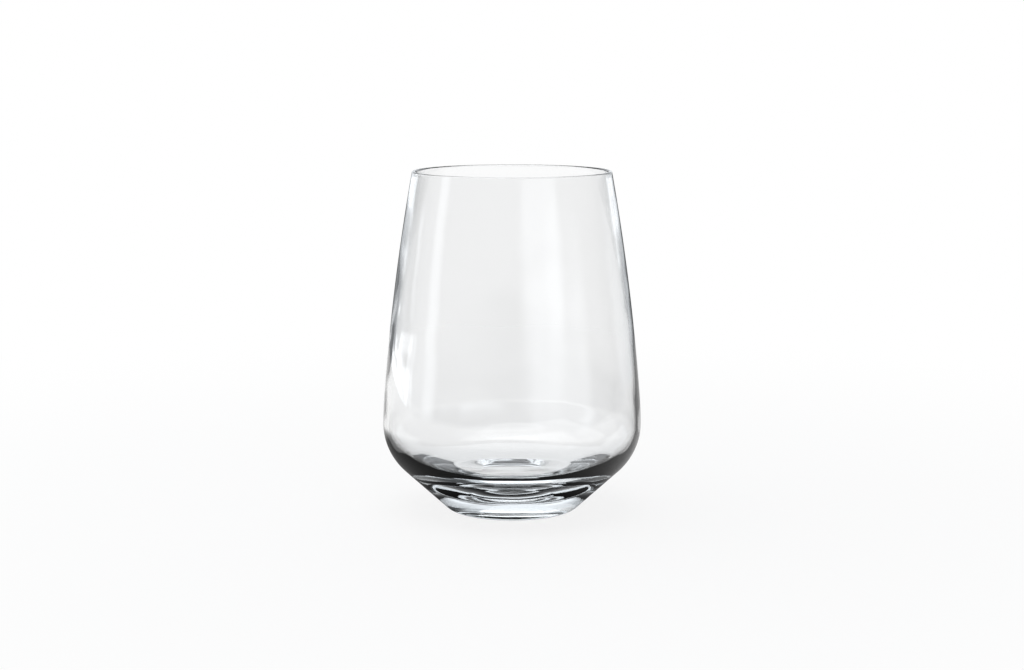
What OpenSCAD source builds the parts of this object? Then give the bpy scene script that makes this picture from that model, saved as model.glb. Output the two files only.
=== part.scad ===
// Stemless wine glass: a thin bowl that narrows to a fire-polished rim,
// on a thick clear base with a round shoulder, a steep cone and a flat foot ring.
// The axis is Z, the table is Z = 0, and all sizes are millimetres and degrees.

/* [Glass] */
// Height from the table to the top of the rim
glass_h = 118; // [105:1:135]
// Diameter at the belly, the widest level
belly_d = 90; // [82:1:100]
// Height of the belly above the table
belly_z = 30.3; // [29:0.1:33]

/* [Wall] */
// Radius of the tight curve that starts the wall at the belly
belly_curve_r = 96; // [60:1:140]
// Angle that the tight curve turns before the long curve takes over
belly_curve_angle = 4.4; // [3:0.1:6]
// Radius of the long curve of the wall, up to the rim
wall_curve_r = 780; // [600:10:1200]
// Thickness of the wall at the belly
belly_wall = 1.8; // [1.4:0.1:2.4]
// Thickness of the wall at the rim, which is also the width of the lip
rim_wall = 1.2; // [0.9:0.1:1.4]

/* [Base] */
// Radius of the shoulder under the belly
shoulder_r = 21.2; // [18:0.1:24]
// Slope of the cone under the shoulder, measured from upright
cone_angle = 47.3; // [44:0.1:50]
// Rounding between the cone and the flat foot ring
foot_round_r = 4; // [2:0.5:5]
// Radius of the corner inside, between the wall and the floor
corner_r = 15; // [13:0.1:16]
// Angle that the inner corner turns before the dished floor takes over
corner_angle = 77; // [72:1:84]
// Diameter of the shallow hollow under the foot
punt_d = 23; // [18:1:34]
// Height of the shallow hollow under the foot
punt_h = 2; // [0.5:0.1:3]

/* [Hidden] */
glass_colour = [0.86, 0.90, 0.92, 0.45];
$fn = 128;

belly_r = belly_d / 2;
punt_r = punt_d / 2;
inner_belly_r = belly_r - belly_wall;

// Number of straight steps in each curve of the outline
belly_curve_steps = 6;
wall_steps = 30;
lip_steps = 14;
shoulder_steps = 24;
foot_steps = 10;
corner_steps = 28;
dish_steps = 14;
punt_steps = 10;

// A point at an angle on a circle, where 0 is level outward and 90 is straight up
function on_circle(centre, radius, angle) = centre + radius * [cos(angle), sin(angle)];

// Points of an arc, from one angle to another, in equal steps
function arc(centre, radius, from, to, steps) =
    [for (i = [0 : steps]) on_circle(centre, radius, from + (to - from) * i / steps)];

// The wall is two curves that share a tangent. Its outward normal turns from level at the belly
// to lip_angle at the rim, where a half circle as wide as the wall closes it.
belly_curve_centre = [belly_r - belly_curve_r, belly_z];
wall_curve_centre = on_circle(belly_curve_centre, belly_curve_r - wall_curve_r, belly_curve_angle);
lip_r = rim_wall / 2;
lip_angle = asin((glass_h - lip_r - wall_curve_centre[1]) / (wall_curve_r - lip_r));
lip_centre = on_circle(wall_curve_centre, wall_curve_r - lip_r, lip_angle);

// Wall thickness at a height: it thins evenly from the belly to the lip
function wall_at(z) = belly_wall + (rim_wall - belly_wall) * (z - belly_z) / (lip_centre[1] - belly_z);

// Wall points at a depth of 0 for the outside and 1 for the inside
function wall_point(centre, radius, angle, depth) =
    let (outside = on_circle(centre, radius, angle))
    outside - depth * wall_at(outside[1]) * [cos(angle), sin(angle)];
function wall(depth) = concat(
    [for (i = [0 : belly_curve_steps - 1])
        wall_point(belly_curve_centre, belly_curve_r, belly_curve_angle * i / belly_curve_steps, depth)],
    [for (i = [0 : wall_steps])
        wall_point(wall_curve_centre, wall_curve_r,
            belly_curve_angle + (lip_angle - belly_curve_angle) * i / wall_steps, depth)]);
function reversed(points) = [for (i = [len(points) - 1 : -1 : 0]) points[i]];

// Under the belly the outside is a shoulder arc, a straight cone and a rounded foot.
// Angles below level are negative, and the cone keeps the slope where the shoulder ends.
shoulder_centre = [belly_r - shoulder_r, belly_z];
shoulder_end = on_circle(shoulder_centre, shoulder_r, -cone_angle);
foot_tangent_z = foot_round_r * (1 - sin(cone_angle));
foot_tangent_r = shoulder_end[0] - (shoulder_end[1] - foot_tangent_z) * tan(cone_angle);
foot_centre = [foot_tangent_r - foot_round_r * cos(cone_angle), foot_round_r];

// Inside, the corner arc runs into a dished floor whose centre lies on the axis
corner_centre = [inner_belly_r - corner_r, belly_z];
corner_end = on_circle(corner_centre, corner_r, -corner_angle);
dish_r = corner_end[0] / cos(corner_angle);
dish_centre = [0, corner_end[1] + dish_r * sin(corner_angle)];
floor_z = dish_centre[1] - dish_r;

// The hollow under the foot is a shallow dome, from the axis out to the flat ring
punt_sphere_r = (punt_r * punt_r + punt_h * punt_h) / (2 * punt_h);
punt_centre = [0, punt_h - punt_sphere_r];
punt_edge_angle = acos(punt_r / punt_sphere_r);

bowl_outline = concat(
    wall(0),
    arc(lip_centre, lip_r, lip_angle, lip_angle + 180, lip_steps),
    reversed(wall(1)));

base_outline = concat(
    arc(punt_centre, punt_sphere_r, 90, punt_edge_angle, punt_steps),
    arc(foot_centre, foot_round_r, -90, -cone_angle, foot_steps),
    arc(shoulder_centre, shoulder_r, -cone_angle, 0, shoulder_steps),
    arc(corner_centre, corner_r, 0, -corner_angle, corner_steps),
    arc(dish_centre, dish_r, -corner_angle, -90, dish_steps));

// Thin wall from the belly to the polished lip
module bowl() {
    color(glass_colour)
        rotate_extrude()
            polygon(bowl_outline);
}

// Solid bottom: shoulder, cone and foot outside, rounded corner and dished floor inside
module base() {
    color(glass_colour)
        rotate_extrude()
            polygon(base_outline);
}

bowl();
base();
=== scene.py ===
# %% [markdown]
# # A stemless wine glass
#
# This lesson makes one clear drinking glass and the small white studio that it stands in. A glass has almost
# no colour of its own. What you see is the room, bent through the wall and mirrored on it, so two things
# decide the picture: the exact shape of the glass, inside as well as outside, and what stands around it.
#
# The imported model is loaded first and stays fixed. It says how tall and how wide the glass is and where it
# stands.

# %% Load the fixed frame
import math

import bpy
import numpy as np
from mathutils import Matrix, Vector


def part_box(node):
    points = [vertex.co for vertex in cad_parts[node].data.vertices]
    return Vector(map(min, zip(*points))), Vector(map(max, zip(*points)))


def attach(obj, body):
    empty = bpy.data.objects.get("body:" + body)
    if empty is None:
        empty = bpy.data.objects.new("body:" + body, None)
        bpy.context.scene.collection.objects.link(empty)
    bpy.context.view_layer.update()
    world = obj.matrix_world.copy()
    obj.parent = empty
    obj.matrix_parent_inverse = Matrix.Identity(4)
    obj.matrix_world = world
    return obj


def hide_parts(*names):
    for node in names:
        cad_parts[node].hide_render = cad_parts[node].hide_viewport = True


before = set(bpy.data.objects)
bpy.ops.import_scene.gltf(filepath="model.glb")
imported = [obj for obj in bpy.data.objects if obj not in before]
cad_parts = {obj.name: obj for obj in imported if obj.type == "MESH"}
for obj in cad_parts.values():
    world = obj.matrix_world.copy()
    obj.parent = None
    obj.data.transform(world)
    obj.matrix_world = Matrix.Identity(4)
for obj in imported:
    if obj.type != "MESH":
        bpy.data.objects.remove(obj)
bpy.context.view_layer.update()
_, base_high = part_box("base")
_, bowl_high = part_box("bowl")
scene = bpy.context.scene

# %% [markdown]
# ## The camera
#
# The picture is taken from a little above the rim, with a moderately long lens, so the rim is a thin ellipse
# and the sides hardly converge. The camera comes first because every later step is judged through it.

# %% Place the camera
camera_distance = 0.677
camera_height = 0.163
camera_pitch = math.radians(8.574)
lens_mm = 69.22
sensor_mm = 36.0

camera_data = bpy.data.cameras.new("camera")
camera_data.lens = lens_mm
camera_data.sensor_width = sensor_mm
camera = bpy.data.objects.new("camera", camera_data)
camera.location = (0.0, -camera_distance, camera_height)
camera.rotation_euler = (math.pi / 2 - camera_pitch, 0.0, 0.0)
scene.collection.objects.link(camera)
scene.camera = camera

# %% [markdown]
# ## The outline of the glass
#
# The real glass is blown into a mould, so it is a turned shape: one outline carried round an axis. The
# outline could be drawn by hand as a spline, but a glassmaker's drawing is made of circles that share
# tangents, and circles also bend light evenly. So each stretch here is an arc: a dished floor and a round
# corner inside, a wall of two curves, half a circle for the fire-polished lip, then the shoulder, a straight
# cone, the foot and the hollow under it.
#
# The frame gives the height, the belly and its level. The rest are the glassmaker's own radii, in metres.

# %% What the frame gives, and arcs
glass_height = bowl_high.z
belly_height = base_high.z
belly_radius = base_high.x


def direction(angle):
    """Unit vector at an angle in degrees, where 0 points straight out and 90 straight up."""
    turned = np.radians(angle)
    return np.stack([np.cos(turned), np.sin(turned)], axis=-1)


def arc(centre, radius, start, stop, steps):
    """Points on a circle at even angles: the centre plus the radius times each direction."""
    return np.asarray(centre) + radius * direction(np.linspace(start, stop, steps + 1))


# %% [markdown]
# The wall thins evenly from the belly to the lip. Its inside could be an offset of its outside, but a
# constant offset gives a wall as thick at the rim as at the belly. So the inside is the outside moved along
# its own normal by a thickness that depends on the height.

# %% The wall and the lip
belly_curve_radius = 0.096
belly_curve_angle = 4.4
belly_curve_steps = 10
wall_curve_radius = 0.780
wall_curve_steps = 56
belly_wall = 0.0018
rim_wall = 0.0012
lip_steps = 16

belly_curve_centre = np.array([belly_radius - belly_curve_radius, belly_height])
curve_change = belly_curve_radius - wall_curve_radius
wall_curve_centre = belly_curve_centre + curve_change * direction(belly_curve_angle)
lip_radius = rim_wall / 2
lip_reach = wall_curve_radius - lip_radius
lip_sine = (glass_height - lip_radius - wall_curve_centre[1]) / lip_reach
lip_angle = math.degrees(math.asin(lip_sine))
lip_centre = wall_curve_centre + lip_reach * direction(lip_angle)
lip = arc(lip_centre, lip_radius, lip_angle + 180.0, lip_angle, lip_steps)


def wall_side(depth):
    """Wall points from the belly to the lip: the outer arcs, moved in along their normals by depth times the
    wall. The wall's thickness falls in a straight line with height, from belly_wall to rim_wall."""
    low = np.linspace(0.0, belly_curve_angle, belly_curve_steps + 1)[:-1]
    high = np.linspace(belly_curve_angle, lip_angle, wall_curve_steps + 1)
    outside = np.concatenate([
        belly_curve_centre + belly_curve_radius * direction(low),
        wall_curve_centre + wall_curve_radius * direction(high),
    ])
    share = (outside[:, 1] - belly_height) / (lip_centre[1] - belly_height)
    thickness = belly_wall + (rim_wall - belly_wall) * share
    return outside - depth * thickness[:, None] * direction(np.concatenate([low, high]))


outer_wall = wall_side(0)
inner_wall = wall_side(1)

# %% [markdown]
# The base is a lens. Its inside and outside decide where the dark and bright bands run, so both are exact
# arcs. Inside, a flat floor would meet the wall in a sharp corner, which no mould gives. So the corner turns
# almost level before a shallow dish, whose centre is on the axis, takes over.

# %% The floor inside
corner_radius = 0.015
corner_angle = 77.0
corner_steps = 44
dish_steps = 24

corner_centre = np.array([belly_radius - belly_wall - corner_radius, belly_height])
corner = arc(corner_centre, corner_radius, -corner_angle, 0.0, corner_steps)
corner_turn = math.radians(corner_angle)
dish_radius = corner[0, 0] / math.cos(corner_turn)
dish_centre = [0.0, corner[0, 1] + dish_radius * math.sin(corner_turn)]
dish = arc(dish_centre, dish_radius, -90.0, -corner_angle, dish_steps)

# %% [markdown]
# Outside, the base narrows from a round shoulder to a straight cone and a rounded foot. Straight lines alone
# would be simpler, but each kink would show as a hard bright line. So the cone starts where the shoulder has
# turned to the cone's slope, and the foot's circle touches both the cone and the table.

# %% The shoulder, the cone and the foot
shoulder_radius = 0.0212
shoulder_steps = 40
cone_angle = 47.3
cone_steps = 11
foot_round_radius = 0.004
foot_steps = 18

shoulder_centre = [belly_radius - shoulder_radius, belly_height]
shoulder = arc(shoulder_centre, shoulder_radius, 0.0, -cone_angle, shoulder_steps)
cone_turn = math.radians(cone_angle)
foot_top = foot_round_radius * (1 - math.sin(cone_turn))
cone_run = (shoulder[-1, 1] - foot_top) * math.tan(cone_turn)
foot_radius = shoulder[-1, 0] - cone_run - foot_round_radius * math.cos(cone_turn)
foot = arc([foot_radius, foot_round_radius], foot_round_radius, -cone_angle, -90.0, foot_steps)
cone = np.linspace(shoulder[-1], foot[0], cone_steps + 1)[1:-1]

# %% [markdown]
# Under the foot is a shallow hollow, so that the glass stands on a ring and doesn't rock. It could be cut
# with a Boolean, but that breaks the even mesh. As a part of the outline it is one more arc: a low dome of
# height h over a radius r, whose sphere has the radius (r squared plus h squared) over 2 h.

# %% The hollow, and the whole outline
punt_radius = 0.0115
punt_height = 0.0020
punt_steps = 24

punt_sphere = (punt_radius**2 + punt_height**2) / (2 * punt_height)
punt_slope = math.degrees(math.asin(punt_radius / punt_sphere))
punt = arc([0.0, punt_height - punt_sphere], punt_sphere, 90.0 - punt_slope, 90.0, punt_steps)

outline = np.concatenate([
    dish, corner[1:], inner_wall[1:], lip[1:-1], outer_wall[::-1],
    shoulder[1:], cone, foot, punt,
])
outline[[0, -1], 0] = 0.0
print("outline points:", len(outline))

# %% [markdown]
# ## The glass body
#
# The outline becomes a surface by turning it: the point with radius r and height h goes to
# (r cos t, r sin t, h). A Screw modifier could do that, but the array form lets both poles be single points,
# so the body is closed, has no seam, and all its faces point out of the glass. One body stands for both
# portions of the frame, because on the real glass no line runs between the bowl and the base.

# %% Turn the outline
segments = 256


def turned_body(name, outline, segments):
    """A closed body: ring i, step j is (r_i cos t_j, r_i sin t_j, h_i), with t_j = 2 pi j / segments.
    The first and last outline points lie on the axis. Each is one vertex, closed by a fan of triangles."""
    turn = np.linspace(0.0, 2 * np.pi, segments, endpoint=False)
    radius, height = outline[1:-1].T
    rings = np.stack([
        radius[:, None] * np.cos(turn),
        radius[:, None] * np.sin(turn),
        np.broadcast_to(height[:, None], (len(height), segments)),
    ], axis=-1)
    poles = np.array([[0.0, 0.0, outline[0, 1]], [0.0, 0.0, outline[-1, 1]]])
    points = np.concatenate([rings.reshape(-1, 3), poles])
    here = np.arange(segments)
    beside = np.roll(here, -1)
    near = segments * np.arange(len(height) - 1)[:, None]
    far = near + segments
    quads = np.stack([near + here, far + here, far + beside, near + beside], axis=-1)
    first, last = len(points) - 2, len(points) - 1
    end = segments * (len(height) - 1)
    fans = np.concatenate([
        np.stack([np.full(segments, first), here, beside], axis=1),
        np.stack([np.full(segments, last), end + beside, end + here], axis=1),
    ])
    mesh = bpy.data.meshes.new(name)
    mesh.from_pydata(points.tolist(), [], quads.reshape(-1, 4).tolist() + fans.tolist())
    mesh.polygons.foreach_set("use_smooth", np.ones(len(mesh.polygons), dtype=bool))
    mesh.validate()
    body = bpy.data.objects.new(name, mesh)
    scene.collection.objects.link(body)
    return body


glass = turned_body("glass_body", outline, segments)
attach(glass, "root")
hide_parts("bowl", "base")
print("glass faces:", len(glass.data.polygons))

# %% [markdown]
# ## Clear glass
#
# Fire-polished glass is smooth, but it was blown: its surface swims a little, and that is what keeps the
# streaks of light from looking ruled. A plain glass shader would be too perfect, and modelled waves would
# cost a heavy mesh. So a small node group works out two things that vary over the surface: a very shallow
# slow wave for the normal, and a trace of haze for the roughness. What is the same all over, such as the
# index of refraction, is set on the shader.

# %% Node helpers


def add_node(tree, kind, **settings):
    """A node of that kind with its plain settings, such as operation or interpolation_type."""
    made = tree.nodes.new(kind)
    for name, value in settings.items():
        setattr(made, name, value)
    return made


def feed(tree, socket, value):
    """Link another node's output into a socket, or set the socket to a number."""
    if isinstance(value, bpy.types.NodeSocket):
        tree.links.new(value, socket)
    else:
        socket.default_value = value


def calculate(tree, operation, *values):
    """Output of one Math node with these values, each a number or another node's output."""
    made = add_node(tree, "ShaderNodeMath", operation=operation)
    for socket, value in zip(made.inputs, values):
        feed(tree, socket, value)
    return made.outputs["Value"]


def smooth_step(tree, value, low, high):
    """0 below low, 1 above high and a smooth S between; low may lie above high, which turns the S round."""
    made = add_node(tree, "ShaderNodeMapRange", interpolation_type="SMOOTHSTEP")
    feed(tree, made.inputs["Value"], value)
    feed(tree, made.inputs["From Min"], low)
    feed(tree, made.inputs["From Max"], high)
    return made.outputs["Result"]


# %% The surface of blown glass
wave_scale = 40.0
wave_detail = 1.0
haze_scale = 160.0
haze_detail = 3.0


def blown_surface_group():
    """Haze and Normal of blown glass, from Object coordinates: noise at two scales, one for each output."""
    group = bpy.data.node_groups.new("blown_surface", "ShaderNodeTree")
    for name in ("Wave Height", "Haze Least", "Haze Most"):
        group.interface.new_socket(name, in_out="INPUT", socket_type="NodeSocketFloat")
    group.interface.new_socket("Haze", in_out="OUTPUT", socket_type="NodeSocketFloat")
    group.interface.new_socket("Normal", in_out="OUTPUT", socket_type="NodeSocketVector")
    inputs = add_node(group, "NodeGroupInput")
    outputs = add_node(group, "NodeGroupOutput")
    place = add_node(group, "ShaderNodeTexCoord").outputs["Object"]

    wave = add_node(group, "ShaderNodeTexNoise")
    feed(group, wave.inputs["Vector"], place)
    feed(group, wave.inputs["Scale"], wave_scale)
    feed(group, wave.inputs["Detail"], wave_detail)
    bump = add_node(group, "ShaderNodeBump")
    feed(group, bump.inputs["Strength"], 1.0)
    feed(group, bump.inputs["Distance"], inputs.outputs["Wave Height"])
    feed(group, bump.inputs["Height"], wave.outputs["Fac"])

    haze = add_node(group, "ShaderNodeTexNoise")
    feed(group, haze.inputs["Vector"], place)
    feed(group, haze.inputs["Scale"], haze_scale)
    feed(group, haze.inputs["Detail"], haze_detail)
    spread = add_node(group, "ShaderNodeMapRange")
    feed(group, spread.inputs["Value"], haze.outputs["Fac"])
    feed(group, spread.inputs["To Min"], inputs.outputs["Haze Least"])
    feed(group, spread.inputs["To Max"], inputs.outputs["Haze Most"])

    feed(group, outputs.inputs["Haze"], spread.outputs["Result"])
    feed(group, outputs.inputs["Normal"], bump.outputs["Normal"])
    return group


blown_surface = blown_surface_group()
print("surface group:", blown_surface.name)

# %% [markdown]
# Clear glass still takes a little light, and more along a longer path. A tint on the surface alone would dim
# the thin wall as much as the thick base. So the surface has only a trace of grey, and a volume inside takes
# the rest: light falls off with the length of its path, and a faint blue-grey shows where the base is thick.

# %% The glass material
glass_tint = (0.979, 0.981, 0.982, 1.0)
glass_ior = 1.52
wave_height = 0.00055
haze_least = 0.0
haze_most = 0.012
absorbed_colour = (0.78, 0.81, 0.83, 1.0)
absorbed_density = 14.0

glass_material = bpy.data.materials.new("clear_glass")
glass_material.use_nodes = True
glass_tree = glass_material.node_tree
clear = glass_tree.nodes["Principled BSDF"]
clear.inputs["Base Color"].default_value = glass_tint
clear.inputs["IOR"].default_value = glass_ior
clear.inputs["Transmission Weight"].default_value = 1.0
surface = add_node(glass_tree, "ShaderNodeGroup", node_tree=blown_surface)
feed(glass_tree, surface.inputs["Wave Height"], wave_height)
feed(glass_tree, surface.inputs["Haze Least"], haze_least)
feed(glass_tree, surface.inputs["Haze Most"], haze_most)
feed(glass_tree, clear.inputs["Roughness"], surface.outputs["Haze"])
feed(glass_tree, clear.inputs["Normal"], surface.outputs["Normal"])
depth_tint = add_node(glass_tree, "ShaderNodeVolumeAbsorption")
depth_tint.inputs["Color"].default_value = absorbed_colour
depth_tint.inputs["Density"].default_value = absorbed_density
feed(glass_tree, glass_tree.nodes["Material Output"].inputs["Volume"], depth_tint.outputs["Volume"])
glass.data.materials.append(glass_material)
print("glass material:", glass_material.name)

# %% [markdown]
# ## The floor
#
# The glass stands on a white sheet that is lost in the white behind. A lit sheet alone would turn grey with
# distance, and a glowing one would lose the shadow. So the sheet is partly matt near the glass, where it
# takes the soft shadow, and changes into plain white further out. It lies a hair under the foot, so that the
# two never share one plane.

# %% Lay the floor
floor_gap = 0.0002
floor_radius = 0.45
floor_sides = 96

floor_mesh = bpy.data.meshes.new("floor")
floor_edge = floor_radius * direction(np.linspace(0.0, 360.0, floor_sides, endpoint=False))
floor_points = np.column_stack([floor_edge, np.full(floor_sides, -floor_gap)])
floor_mesh.from_pydata(floor_points.tolist(), [], [list(range(floor_sides))])
floor = bpy.data.objects.new("floor", floor_mesh)
scene.collection.objects.link(floor)
print("floor radius, m:", floor_radius)

# %% The sheet as it is seen
floor_tone = (0.86, 0.86, 0.865, 1.0)
shadow_reach = 0.05
white_reach = 0.42
near_white = 0.85

floor_material = bpy.data.materials.new("white_sheet")
floor_material.use_nodes = True
floor_tree = floor_material.node_tree
floor_tree.nodes.clear()
sheet_end = add_node(floor_tree, "ShaderNodeOutputMaterial")
matt = add_node(floor_tree, "ShaderNodeBsdfDiffuse")
matt.inputs["Color"].default_value = floor_tone
plain_white = add_node(floor_tree, "ShaderNodeEmission")
sheet_place = add_node(floor_tree, "ShaderNodeTexCoord").outputs["Object"]
sheet_length = add_node(floor_tree, "ShaderNodeVectorMath", operation="LENGTH")
feed(floor_tree, sheet_length.inputs[0], sheet_place)
sheet_distance = sheet_length.outputs["Value"]
fade = smooth_step(floor_tree, sheet_distance, shadow_reach, white_reach)
white_share = calculate(floor_tree, "MULTIPLY_ADD", fade, 1.0 - near_white, near_white)
sheet_mix = add_node(floor_tree, "ShaderNodeMixShader")
feed(floor_tree, sheet_mix.inputs[0], white_share)
feed(floor_tree, sheet_mix.inputs[1], matt.outputs[0])
feed(floor_tree, sheet_mix.inputs[2], plain_white.outputs[0])
print("white share of the sheet at the glass:", near_white)

# %% [markdown]
# Seen by way of a mirroring surface, the same sheet is a problem: mirrored many times over inside the thick
# base, its white would turn the base grey, and a real base looks nearly black. The lamp could be dimmed, but
# then the whole sheet would be grey. So a mirrored ray sees painted tones instead: a painted shadow, dark
# under the glass, painted shade on the left, painted light on the right, and white further out, but with
# painted shade at the back on the right. A ray that has only passed through glass sees the sheet as the
# camera does.
# It is told apart by counting: all of its bounces are transmissions.

# %% Tell rays apart
half_bounce = 0.5


def unmirrored(tree, counted_ahead):
    """1 for a camera ray and for a ray that only passed through glass: all bounces, less transmissions, is 0.
    The world counts the ray that reaches it as one bounce more, so counted_ahead is 1 there and 0 on a
    surface. Half a bounce is added so that whole counts are never compared with their equals."""
    path = add_node(tree, "ShaderNodeLightPath")
    all_bounces, passes = path.outputs["Ray Depth"], path.outputs["Transmission Depth"]
    other_bounces = calculate(tree, "SUBTRACT", all_bounces, passes)
    only_passed = calculate(tree, "LESS_THAN", other_bounces, counted_ahead + half_bounce)
    through_glass = calculate(tree, "MULTIPLY", only_passed, path.outputs["Is Transmission Ray"])
    return calculate(tree, "MAXIMUM", through_glass, path.outputs["Is Camera Ray"])


# %% The sheet as the glass mirrors it: painted shadow, shade and light
# Painted shadow under the glass, painted shade on the left and painted light on the right of the mirrored
# sheet.
painted_shadow_span = (0.020, 0.055)
side_reach = 0.10
painted_left_shade = 0.20
painted_right_light = 0.65

sheet_side = add_node(floor_tree, "ShaderNodeSeparateXYZ")
feed(floor_tree, sheet_side.inputs[0], sheet_place)
rightward = smooth_step(floor_tree, sheet_side.outputs["X"], 0.0, side_reach)
side_rise = painted_right_light - painted_left_shade
side_tone = calculate(floor_tree, "MULTIPLY_ADD", rightward, side_rise, painted_left_shade)
# Painted shadow: the mirrored sheet goes dark under the glass and lightens outwards.
out_of_painted_shadow = smooth_step(floor_tree, sheet_distance, *painted_shadow_span)
near_tone = calculate(floor_tree, "MULTIPLY", side_tone, out_of_painted_shadow)
print("mirrored sheet, left and right:", painted_left_shade, painted_right_light)

# %% The mirrored sheet further out, with painted shade at the back on the right
far_sheet = (0.10, 0.18)
mirrored_white = 1.0
# Painted shade: the mirrored sheet is darker at the back on the right.
painted_back_right_shade = 0.55

outward = smooth_step(floor_tree, sheet_distance, *far_sheet)
backward = smooth_step(floor_tree, sheet_side.outputs["Y"], 0.0, side_reach)
back_right = calculate(floor_tree, "MULTIPLY", rightward, backward)
back_rise = painted_back_right_shade - mirrored_white
far_tone = calculate(floor_tree, "MULTIPLY_ADD", back_right, back_rise, mirrored_white)
out_rise = calculate(floor_tree, "SUBTRACT", far_tone, near_tone)
rise = calculate(floor_tree, "MULTIPLY", outward, out_rise)
# An emission paints these tones onto the sheet that mirrors see: painted shadow, painted shade and painted
# light.
painted_sheet_tones = add_node(floor_tree, "ShaderNodeEmission")
feed(floor_tree, painted_sheet_tones.inputs["Strength"], calculate(floor_tree, "ADD", near_tone, rise))
seen_mix = add_node(floor_tree, "ShaderNodeMixShader")
feed(floor_tree, seen_mix.inputs[0], unmirrored(floor_tree, 0))
feed(floor_tree, seen_mix.inputs[1], painted_sheet_tones.outputs[0])
feed(floor_tree, seen_mix.inputs[2], sheet_mix.outputs[0])
feed(floor_tree, sheet_end.inputs["Surface"], seen_mix.outputs[0])
floor_mesh.materials.append(floor_material)
print("floor material:", floor_material.name)

# %% [markdown]
# ## The room around the glass
#
# A glass is lit by its surroundings. What is seen straight through it is the plain white behind, so the bowl
# looks clear from every side. What its surfaces mirror is a dim room with a few bright windows. The dim room
# draws the grey edges and keeps the front of the bowl from washing out, and the windows draw the streaks.
# Lamps could stand in for the windows, but the room is far away, so it is painted on the world by direction:
# an azimuth, which is 0 behind the glass and 90 on the right, and an elevation. One function makes a
# soft-edged window from those two angles. Each window has its own values, in degrees: wide and tall run from
# its middle to its edge, and soft is half the width of that edge.

# %% A soft window in the world
world = bpy.data.worlds.new("studio")
world.use_nodes = True
scene.world = world
room = world.node_tree
room.nodes.clear()


def soft_window(azimuth, elevation, window):
    """Mask of a soft-edged rectangle of directions: 1 inside both half angles, then a smooth fall to 0."""
    turn = calculate(room, "SUBTRACT", azimuth, window["azimuth"])
    across = calculate(room, "ABSOLUTE", calculate(room, "WRAP", turn, 180.0, -180.0))
    up = calculate(room, "ABSOLUTE", calculate(room, "SUBTRACT", elevation, window["elevation"]))
    soft = window["soft"]
    side = smooth_step(room, across, window["wide"] + soft, window["wide"] - soft)
    end = smooth_step(room, up, window["tall"] + soft, window["tall"] - soft)
    return calculate(room, "MULTIPLY", side, end)


# %% The windows
windows = {
    "back_sweep": dict(azimuth=0, elevation=15, wide=45, tall=16, soft=2, strength=1.1),
    "back_left": dict(azimuth=-38, elevation=-3, wide=24, tall=8, soft=6, strength=0.5),
    "back_right": dict(azimuth=42, elevation=-3, wide=24, tall=8, soft=6, strength=0.5),
    "ceiling": dict(azimuth=0, elevation=80, wide=180, tall=22, soft=4, strength=1.0),
    "left_strip": dict(azimuth=-99, elevation=2, wide=6, tall=30, soft=4, strength=1.1),
    "left_glow": dict(azimuth=-82, elevation=2, wide=14, tall=30, soft=10, strength=0.45),
    "left_thread": dict(azimuth=-69, elevation=3, wide=3, tall=3, soft=2, strength=0.7),
    "left_low_strip": dict(azimuth=-62, elevation=-5.1, wide=11, tall=1.2, soft=0.6, strength=2.0),
    "left_low_tail": dict(azimuth=-43, elevation=-6.5, wide=9, tall=1.0, soft=0.6, strength=2.0),
    "left_low_end": dict(azimuth=-74, elevation=-4.0, wide=5, tall=1.0, soft=0.6, strength=1.2),
    "right_high_window": dict(azimuth=150, elevation=10, wide=20, tall=9, soft=6, strength=0.9),
    "right_low_window": dict(azimuth=134, elevation=-4, wide=28, tall=10, soft=7, strength=0.85),
    "right_core": dict(azimuth=138, elevation=5, wide=7, tall=7, soft=5, strength=0.35),
}
print("windows:", ", ".join(windows))

# %% Paint the room
room_tone = 0.10
room_colour = (0.93, 0.965, 1.0, 1.0)
white = (1.0, 1.0, 1.0, 1.0)

ray = add_node(room, "ShaderNodeSeparateXYZ")
feed(room, ray.inputs[0], add_node(room, "ShaderNodeTexCoord").outputs["Generated"])
azimuth = calculate(room, "DEGREES", calculate(room, "ARCTAN2", ray.outputs["X"], ray.outputs["Y"]))
elevation = calculate(room, "DEGREES", calculate(room, "ARCSINE", ray.outputs["Z"]))

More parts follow.
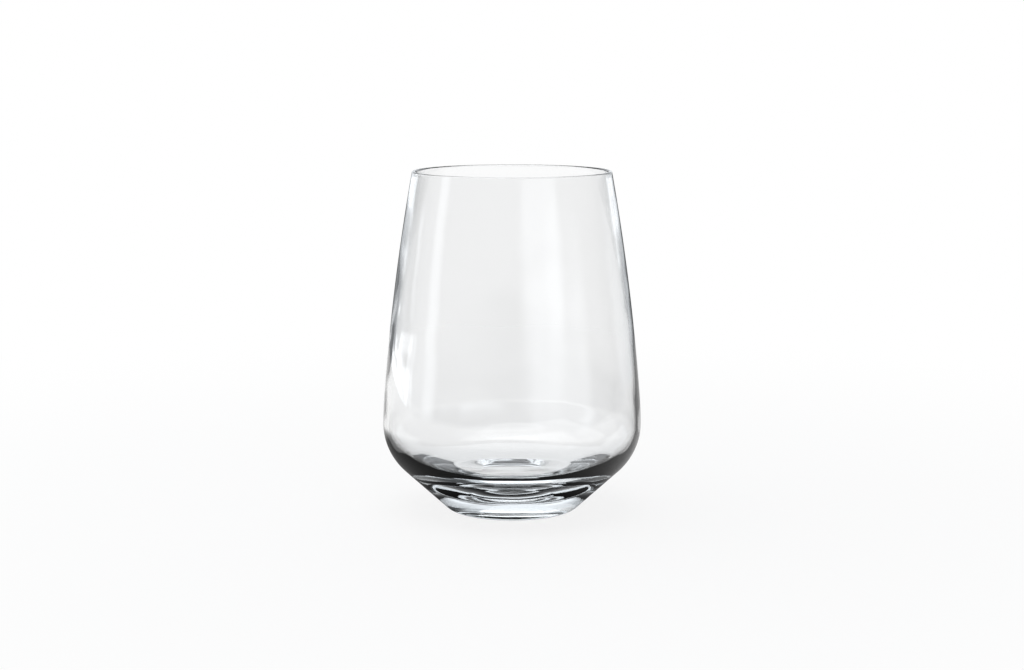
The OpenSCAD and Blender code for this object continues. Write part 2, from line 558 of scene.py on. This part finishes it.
brightness = room_tone
for window in windows.values():
    mask = soft_window(azimuth, elevation, window)
    brightness = calculate(room, "MULTIPLY_ADD", mask, window["strength"], brightness)
mirrored = add_node(room, "ShaderNodeBackground")
mirrored.inputs["Color"].default_value = room_colour
feed(room, mirrored.inputs["Strength"], brightness)
plain = add_node(room, "ShaderNodeBackground")
plain.inputs["Color"].default_value = white
either = add_node(room, "ShaderNodeMixShader")
feed(room, either.inputs[0], unmirrored(room, 1))
feed(room, either.inputs[1], mirrored.outputs[0])
feed(room, either.inputs[2], plain.outputs[0])
room_end = add_node(room, "ShaderNodeOutputWorld")
feed(room, room_end.inputs["Surface"], either.outputs[0])
print("nodes in the room:", len(room.nodes))

# %% [markdown]
# One wide lamp hangs over the table, a little to the left. It lights the sheet, and its size makes the shadow
# soft. A sun lamp would be simpler, but its shadow would be hard and as dark far away as near the foot.

# %% The lamp over the table
lamp_power = 10.0
lamp_size = 1.6
lamp_right = -0.35
lamp_back = 0.10
lamp_height = 1.15

lamp_data = bpy.data.lights.new("overhead_softbox", "AREA")
lamp_data.energy = lamp_power
lamp_data.size = lamp_size
lamp = bpy.data.objects.new("overhead_softbox", lamp_data)
lamp.location = (lamp_right, lamp_back, lamp_height)
lamp_tilt = math.atan2(-lamp_back, lamp_height)
lamp_lean = math.atan2(lamp_right, lamp_height)
lamp.rotation_euler = (lamp_tilt, lamp_lean, 0.0)
lamp.visible_camera = False
scene.collection.objects.link(lamp)
print("lamp height, m:", lamp_height)

# %% [markdown]
# ## Light paths and colours
#
# Light that has been mirrored many times inside the thick base ends up dark, which is what gives such a base
# its weight. A renderer that follows such light to the end fills the base with pale rings. A path may
# therefore bend often but mirror only four times. Colours are shown as they are written.

# %% Limits and colours
bends_allowed = 12
mirrors_allowed = 4

scene.cycles.max_bounces = bends_allowed
scene.cycles.transmission_bounces = bends_allowed
scene.cycles.glossy_bounces = mirrors_allowed
scene.view_settings.view_transform = "Standard"
print("bends and mirrors allowed:", bends_allowed, mirrors_allowed)
